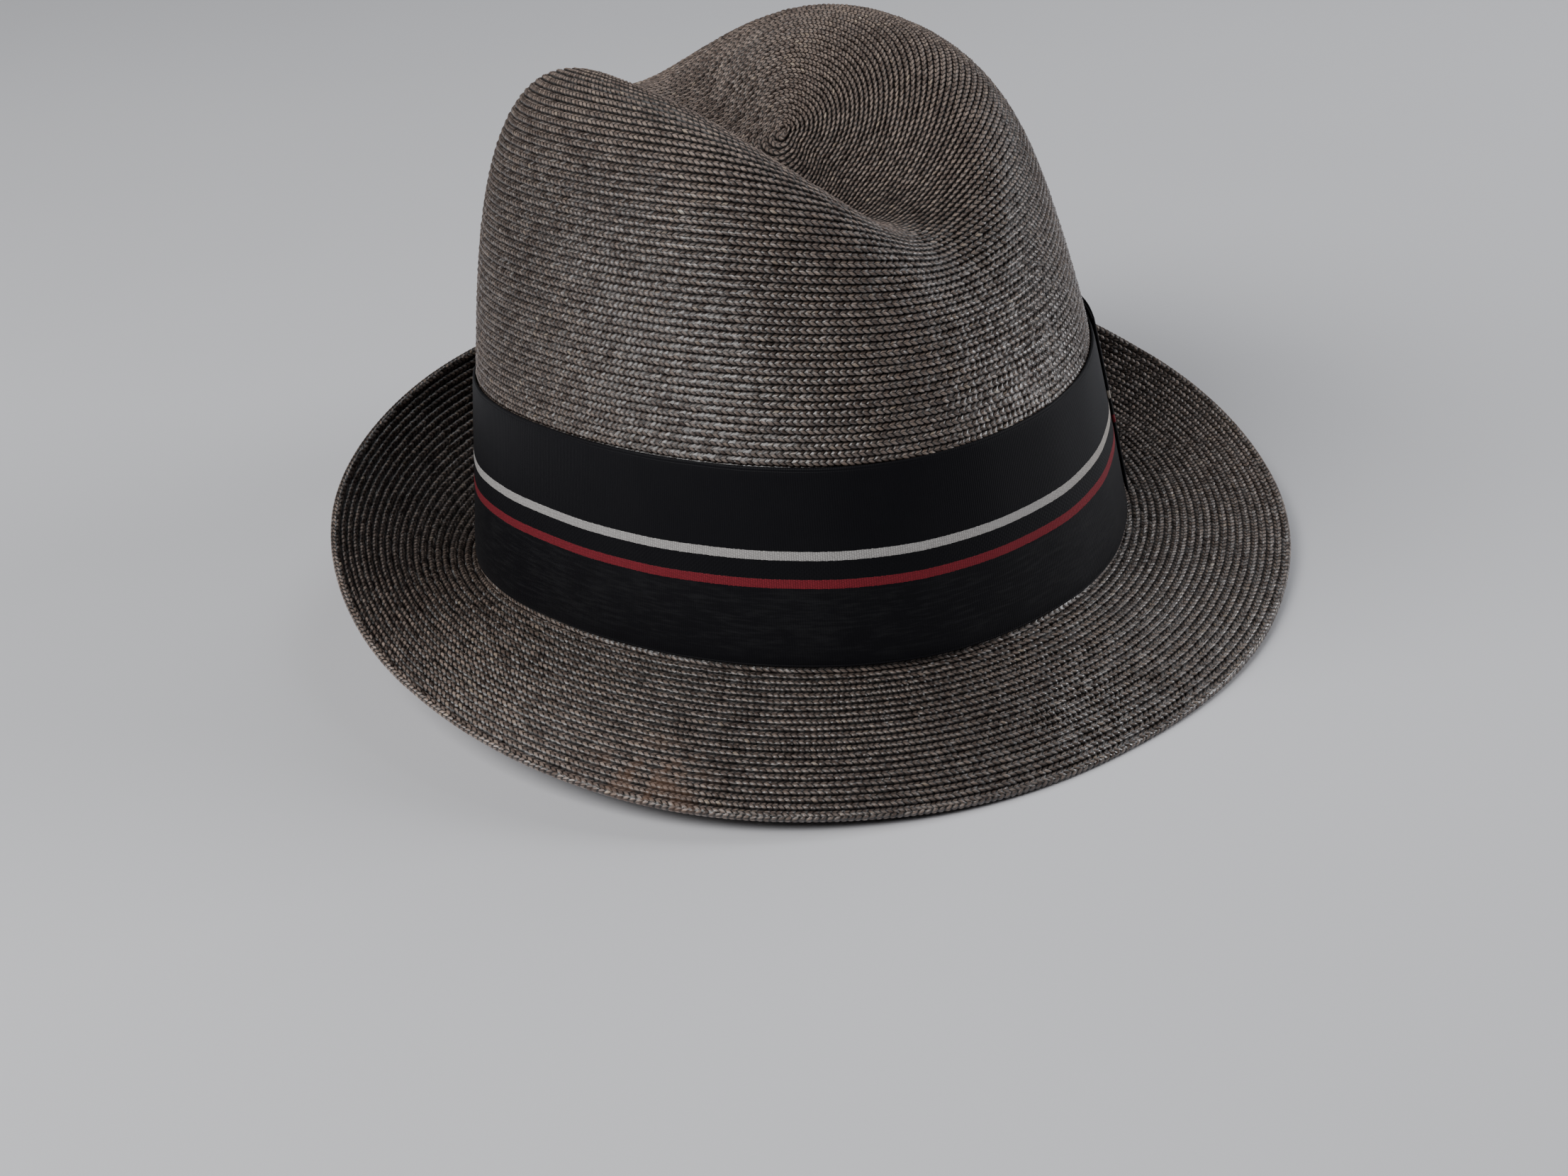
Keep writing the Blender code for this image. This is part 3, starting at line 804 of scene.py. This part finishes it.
def build_crown():
    """The spiral of braid, in three pieces of one length, as far down as it shows above the band."""
    turns, rows = crown_spiral()
    seen = crown_at(turns, rows + 0.5)[:, 2] > ribbon_top(turns) - 0.0045
    last = int(np.nonzero(seen)[0].max()) + 2
    steps = len(FACE.leaf)
    shown = np.cumsum(seen[:last]) / steps
    cuts = [int(np.searchsorted(shown, shown[-1] * share)) // steps * steps for share in (1 / 3, 2 / 3)]
    names = ["straw_crown_top", "straw_crown_shoulder", "straw_crown_wall"]
    for name, low, high in zip(names, [0, *cuts], [*cuts, last]):
        pick = slice(low, high + 1)
        count = len(turns[pick])
        turn, down, raised = braid_points(turns[pick], rows[pick], FACE, SEED + low)
        points = crown_at(turn, down)
        # The band presses the braid flat under it
        free = blend(points[..., 2], ribbon_top(turn) - 0.0015, ribbon_top(turn) + 0.0002)
        raised = raised * (0.25 + 0.75 * free) - 0.0001 * (1.0 - free)
        points = points + normal_at(crown_at, turn, down) * raised[..., None]
        keep = np.repeat(seen[pick][:-1] | seen[pick][1:], len(FACE.across) - 1)
        quads = grid_quads(count, len(FACE.across))[keep]
        maps = straw_maps(*strip_maps(low / steps, count, FACE, turn, rows[pick][:, None]))
        add_piece(name, points, quads, maps, STRAW, ["straw_body"])


def brim_turns(count, ring, along, fine, braid):
    """Turns of one ring's points: the leaves slant away from the middle of the row to both sides."""
    spots = np.interp(np.arange(count + 1) * along[-1] / count, along, fine) + 0.37 * ring
    column = np.arange(count)[:, None] + np.abs(braid.across - VERTEX) * SHEAR * len(braid.leaf)
    whole = np.floor(column).astype(int)
    low, high = (spots[at % count] + (at // count) * 2.0 * math.pi for at in (whole, whole + 1))
    return low + (high - low) * (column - whole)


def build_brim(names, side, braid, material):
    """Rings of braid on one face of the brim, split into pieces by row."""
    share = BRIM_ROWS // len(names) + 1
    first_ring = -1 if side > 0 else 0
    for index, name in enumerate(names):
        points, quads, patterns, bakes = [], [], [], []
        start = 0
        for ring in range(index * share if index else first_ring, min((index + 1) * share, BRIM_ROWS)):
            along, fine = ring_line(ring + 0.5, 1441)
            count = int(round(along[-1] / CELL)) * len(braid.leaf)
            turn = brim_turns(count, ring, along, fine, braid)
            raised, slip = leaf_forms(count, braid, SEED + 100 + ring)
            if ring == BRIM_ROWS - 1:
                slip = slip * 0.0
                raised = np.where(braid.across > 0.99, 0.0, raised)
            down = braid_rows(ring, braid, slip)
            spot = brim_at(turn, down)
            out = normal_at(brim_at, turn, np.maximum(down, -0.9))
            if side < 0:
                spot = spot - out * STRAW_WALL
            spot = spot + out * (side * raised * (0.35 + 0.65 * blend(down, -0.9, 0.6)))[..., None]
            face = grid_quads(count, len(braid.across), closed=True) + start
            pattern, bake = strip_maps(ring * RING_LEAVES, count, braid, turn, 40.0 + ring)
            points.append(spot.reshape(-1, 3))
            quads.append(face if side > 0 else face[:, ::-1])
            patterns.append(pattern)
            bakes.append(bake)
            start += len(points[-1])
        points, quads = np.concatenate(points), np.concatenate(quads)
        maps = straw_maps(np.concatenate(patterns), np.concatenate(bakes))
        add_piece(name, points, quads, maps, material, ["straw_body"])


def build_edge():
    """The doubled last row: a fine braid bent round the rim from the upper face to the lower one."""
    along, fine = ring_line(BRIM_ROWS, 2001)
    cells = int(round(along[-1] / CELL))
    steps = len(FACE.leaf)
    count = cells * steps
    straight = np.interp(np.arange(count) * along[-1] / count, along, fine)[:, None]
    bend = np.radians(np.linspace(-100.0, 100.0, 9))
    turn = straight - 0.55 * (1.0 - np.abs(bend) / bend[-1]) * 2.0 * math.pi / cells
    rim = brim_at(turn, BRIM_ROWS)
    out = normal_at(brim_at, turn, BRIM_ROWS)
    level = rim - brim_at(turn, BRIM_ROWS - 0.3)
    level /= np.linalg.norm(level, axis=-1, keepdims=True)
    radius = 0.00088 + 0.00013 * FACE.leaf[np.arange(count) % steps][:, None] * np.cos(bend * 0.6)
    centre = rim - out * STRAW_WALL / 2.0 - level * 0.0004
    points = centre + out * (radius * (np.sin(-bend) * 1.02))[..., None]
    points = points + level * (radius * np.cos(bend))[..., None]
    quads = grid_quads(count, len(bend), closed=True)
    v = np.linspace(0.22, 0.92, len(bend))
    pattern = pairs(EDGE_LEAVES + np.arange(count)[:, None] / steps, v)
    maps = straw_maps(pattern, polar(40.0 + 2.0 * v, straight))
    add_piece("straw_brim_edge", points, quads, maps, STRAW, ["straw_body"])


def build_centre():
    """The braid's start, coiled into a small knob at the middle of the spiral."""
    columns = 30
    turns = even_turns(columns)[:, None]
    rows = np.array([0.02, 0.25, 0.50, 0.72, 0.90])
    rise = np.array([0.42, 0.40, 0.34, 0.12, -0.45]) / 1000.0
    lobes = np.cos(turns * 5.0)
    turn = turns - 0.9 * rows
    row = rows * (1.0 + 0.10 * lobes)
    points = crown_at(turn, row) + normal_at(crown_at, turn, row) * (rise + 0.00008 * lobes)[..., None]
    quads = grid_quads(columns, len(rows), closed=True)
    pattern = pairs(KNOB_LEAVES + np.arange(columns)[:, None] / 6.0, 0.55 + 0.38 * rows)
    maps = straw_maps(pattern, polar(rows, turns))
    add_piece("straw_crown_knob", points, quads, maps, STRAW, ["straw_body"])


def build_inside():
    """The crown's inner face, with the rows' steps seen from behind."""
    columns = 120
    turns = even_turns(columns)
    marks = np.append(np.arange(CROWN_ROWS)[:, None] + (0.10, 0.80), CROWN_ROWS)
    rise = np.append(np.tile([0.00012, -0.00012], CROWN_ROWS), 0.0)
    out = normal_at(crown_at, turns[:, None], np.minimum(marks, CROWN_ROWS - 0.6))
    points = crown_at(turns[:, None], marks) - out * (STRAW_WALL - 0.00015 + rise)[:, None]
    # Two more lines carry the face round the corner to where the brim's lower face starts
    start = brim_at(turns, 0.05) - normal_at(brim_at, turns, 0.05) * (STRAW_WALL + 0.00006)
    half_way = (points[:, -1] + start) / 2.0 - np.array([0.0, 0.0, 0.00025]) - 0.00015 * root_normal(turns)
    points = np.concatenate([points, half_way[:, None], start[:, None]], axis=1)
    marks = np.append(marks, [CROWN_ROWS + 0.5, CROWN_ROWS + 1.0])
    quads = grid_quads(columns, len(marks), closed=True)[:, ::-1]
    v = np.append(np.tile([0.15, 0.9], CROWN_ROWS), [0.9, 0.5, 0.3])
    around = np.linalg.norm(np.diff(crown_at(turns[:, None], marks), axis=0), axis=-1)
    x = INSIDE_LEAVES + np.cumsum(np.concatenate([np.zeros((1, len(marks))), around]), axis=0) / CELL
    # Each row's leaves start from another place
    x = x + (700.0 * (np.arange(len(marks)) // 2)) % 7919.0
    maps = straw_maps(pairs(x, v), polar(marks, turns[:, None]))
    add_piece("straw_crown_inside", points, quads, maps, STRAW_UNDER, ["straw_body"])


def build_foot():
    """The part of the crown's wall that the band hides, a little inside the braid."""
    columns = 144
    turns = even_turns(columns)
    share = np.linspace(0.0, 1.0, 13)[:-1]
    top, foot = ribbon_top(turns) - 0.003, root_height(turns) + 0.0012
    heights = top[:, None] * (1 - share) + foot[:, None] * share
    walls = np.array([wall_at(turn, levels) for turn, levels in zip(turns, heights)])
    points = np.concatenate([walls, heights[..., None]], axis=-1) - 0.0008 * root_normal(turns)[:, None, :]
    quads = grid_quads(columns, len(share), closed=True)
    pattern = pairs(FOOT_LEAVES + np.arange(columns)[:, None] * 2.3, np.full(len(share), 0.6))
    maps = straw_maps(pattern, polar(20.0 + np.arange(len(share)), turns[:, None]))
    add_piece("straw_foot", points, quads, maps, STRAW, ["straw_body"])


def build_ribbon():
    """The band: an outer and an inner face with rounded selvages, closed round the crown."""
    along, fine = band_length(math.pi / 2.0, math.pi * 2.5)
    columns = 440
    length = np.arange(columns + 1) * along[-1] / columns
    turn = np.interp(length[:-1], along, fine)
    up, outs = BAND_LINES / 1000.0, BAND_OUTS / 1000.0
    heights = ribbon_foot(turn)[:, None] + up
    turns = np.broadcast_to(turn[:, None], heights.shape)
    # The outer face is not quite taut: it stands off by a tenth of a millimetre here and there
    slack = 0.00009 * np.sin(turns * 9.0 + up * 60.0) + 0.00006 * np.sin(turns * 23.0 + 1.7)
    points = off_wall(turns, heights, outs + slack * np.where(outs > 0.0010, 1.0, 0.0))
    # The first column again at full length, so that the pattern doesn't run back over the last quad
    points = np.concatenate([points, points[:1]])
    quads = ring_quads(columns, len(up))
    maps = cloth_maps(length * 1000.0, BAND_LINES)
    made = add_piece("ribbon_band_cloth", points, quads, maps, RIBBON, ["ribbon_band"], closed=True)


def inner_side(track):
    """Direction across a strip's line to its inner side, at each of its points."""
    ahead = np.gradient(track, axis=0)
    ahead /= np.linalg.norm(ahead, axis=1, keepdims=True)
    return np.stack([-ahead[:, 1], ahead[:, 0]], axis=1)


def build_loop(name, side, node):
    """One flat loop of the bow: the ribbon runs out along the band, folds and comes back over itself."""
    inside = BAND_OUT + PIECE_GAP
    wide = LOOP_DEPTH / 2.0
    fold = LOOP_REACH - wide
    lengths = np.linspace(0.0008, fold, 46)
    # The upper layer swells a little beside the strap, and the loop is pressed flat towards its fold
    puff = 0.00030 * np.sin(np.clip((lengths - 0.009) / (fold - 0.009), 0.0, 1.0) * math.pi) ** 1.5
    pressed = 1.0 - 0.33 * blend(lengths, 0.012, fold)
    bend = np.linspace(0.0, math.pi, 12)[1:-1]
    track = np.concatenate([
        pairs(lengths, inside),
        pairs(fold + wide * np.sin(bend), inside + wide * pressed[-1] * (1.0 - np.cos(bend))),
        pairs(lengths, inside + LOOP_DEPTH * pressed + puff)[::-1],
    ])
    steps = run_length(track)
    up = LOOP_LINES / 1000.0
    half = RIBBON_HEIGHT / 2.0
    faces = []
    for depth in (0.0, LOOP_THICK):
        reach, out = (track + inner_side(track) * depth).T
        turn = path_turns(side * reach)
        # The strap draws the loop in to a waist, and the loop droops a little towards its fold
        waist = 1.0 - 0.11 * (1.0 - blend(reach, 0.004, LOOP_REACH))
        middle = ribbon_foot(turn) + LOOP_LIFT - 0.0005 * blend(reach, 0.0, LOOP_REACH) + half
        heights = middle[:, None] + (up - half) * waist[:, None]
        turns = np.broadcast_to(turn[:, None], heights.shape)
        proud = np.clip((out - inside) / LOOP_DEPTH, 0.0, 1.0)[:, None]
        pillow = proud * 0.00012 * np.sin(up / RIBBON_HEIGHT * math.pi)
        faces.append(off_wall(turns, heights, out[:, None] + pillow))
    points, quads = closed_strip(*faces)
    start = 0.0 if side < 0 else 200.0
    maps = cloth_maps(steps * 1000.0 + start, np.append(LOOP_LINES, LOOP_LINES[::-1]))
    made = add_piece(name, points, quads, maps, RIBBON, [node], closed=True)


def build_knot():
    """Strap over the loops: the ribbon folded to a third of its width, turned in at top and foot."""
    over = BAND_OUT + 2.0 * PIECE_GAP + LOOP_DEPTH + 0.00085
    corner = 0.0010
    foot = RIBBON_FOOT + 0.0003
    top = RIBBON_FOOT + LOOP_LIFT + RIBBON_HEIGHT + PIECE_GAP + corner
    levels = np.linspace(foot, top - corner, 22)
    bend = np.radians([20, 40, 60, 80])
    track = np.concatenate([
        [(over - 0.0016, foot - 0.0002), (over - 0.0007, foot - 0.0004)],
        pairs(over + 0.00035 * np.sin((levels - foot) / (top - foot) * math.pi), levels),
        pairs(over - corner + corner * np.cos(bend), top - corner + corner * np.sin(bend)),
        pairs(np.array([0.0022, 0.0015, 0.0008]), top),
    ])
    steps = run_length(track)
    across = KNOT_LINES * (KNOT_WIDTH / 2.0)
    turns = np.broadcast_to(path_turns(across), (len(track), len(across)))
    # Two soft pleats run up the strap, and its edges are rolled in
    pleat = -0.00022 * np.exp(-(((np.abs(KNOT_LINES) - KNOT_PLEAT) / 0.05) ** 2))
    pleat = pleat - 0.00030 * np.abs(KNOT_LINES) ** 8
    faces = []
    for depth, share in ((0.0, 1.0), (KNOT_THICK, 0.5)):
        out, level = (track + inner_side(track) * depth).T[..., None]
        faces.append(off_wall(turns, root_height(turns) + ROOT_DIP + level, out + pleat * share))
    points, quads = closed_strip(*faces)
    lines = FIELD + across * 1000.0
    maps = cloth_maps(steps * 1000.0 + 420.0, np.append(lines, lines[::-1]))
    made = add_piece("bow_knot_cloth", points, quads, maps, RIBBON, ["bow_knot"], closed=True)


def build_floor():
    """Plain pale floor."""
    mesh = bpy.data.meshes.new("floor")
    mesh.from_pydata([(-6, -6, 0), (6, -6, 0), (6, 6, 0), (-6, 6, 0)], [], [(0, 1, 2, 3)])
    floor = bpy.data.objects.new("floor", mesh)
    bpy.context.collection.objects.link(floor)
    net = Net("pale_floor")
    cloudy = net.ramp(net.noise(net.place(), 3.0, 3.0),
                      [(0.3, (0.71, 0.71, 0.735)), (0.7, (0.74, 0.74, 0.765))])
    net.look(Base_Color=cloudy, Roughness=0.75)
    mesh.materials.append(net.material)


LIGHT_DISTANCE = 1.5
AIM_HEIGHT = 0.06


def add_light(name, azimuth, elevation, size, power, colour=(1.0, 1.0, 1.0)):
    """Area light aimed at the hat. Azimuth 0 is in front of it, and counts towards its wearer's left."""
    data = bpy.data.lights.new(name, "AREA")
    data.shape = "RECTANGLE"
    data.size, data.size_y = size
    data.energy = power
    data.color = colour
    light = bpy.data.objects.new(name, data)
    bpy.context.collection.objects.link(light)
    a, e = math.radians(azimuth), math.radians(elevation)
    away = LIGHT_DISTANCE * np.array([math.sin(a) * math.cos(e), -math.cos(a) * math.cos(e), math.sin(e)])
    light.location = away + (0.0, 0.0, AIM_HEIGHT)
    light.rotation_euler = Euler((math.pi / 2.0 - e, 0.0, a))


build_crown()
build_brim(["straw_brim_inner", "straw_brim_outer"], 1.0, FACE, STRAW)
build_brim(["straw_brim_under"], -1.0, REVERSE, STRAW_UNDER)
build_edge()
build_centre()
build_inside()
build_foot()
build_ribbon()
build_loop("bow_front_loop_cloth", -1.0, "bow_front_loop")
build_loop("bow_back_loop_cloth", 1.0, "bow_back_loop")
build_knot()
build_floor()

world = bpy.data.worlds.new("studio")
bpy.context.scene.world = world
world.use_nodes = True
world.node_tree.nodes["Background"].inputs["Color"].default_value = (0.93, 0.96, 1.0, 1.0)
world.node_tree.nodes["Background"].inputs["Strength"].default_value = 0.035
add_light("left_front", -75, 50, (0.8, 0.7), 12.3)
add_light("left_back", -110, 36, (0.8, 0.8), 9.8)
add_light("right_low", 60, 20, (0.7, 0.6), 12.6, (0.98, 0.98, 1.0))
add_light("right_back", 110, 50, (0.8, 0.7), 4.4, (0.90, 0.95, 1.0))

lens = bpy.data.cameras.new("photo_camera")
camera = bpy.data.objects.new("photo_camera", lens)
bpy.context.collection.objects.link(camera)
camera.location = (-0.3472, -0.50139, 0.35059)
camera.rotation_euler = Euler([math.radians(x) for x in (59.534650, 5.257130, -36.571872)], "XYZ")
lens.sensor_width = 36.0
lens.lens = 56.962
lens.clip_start = 0.01
lens.clip_end = 50.0
bpy.context.scene.camera = camera
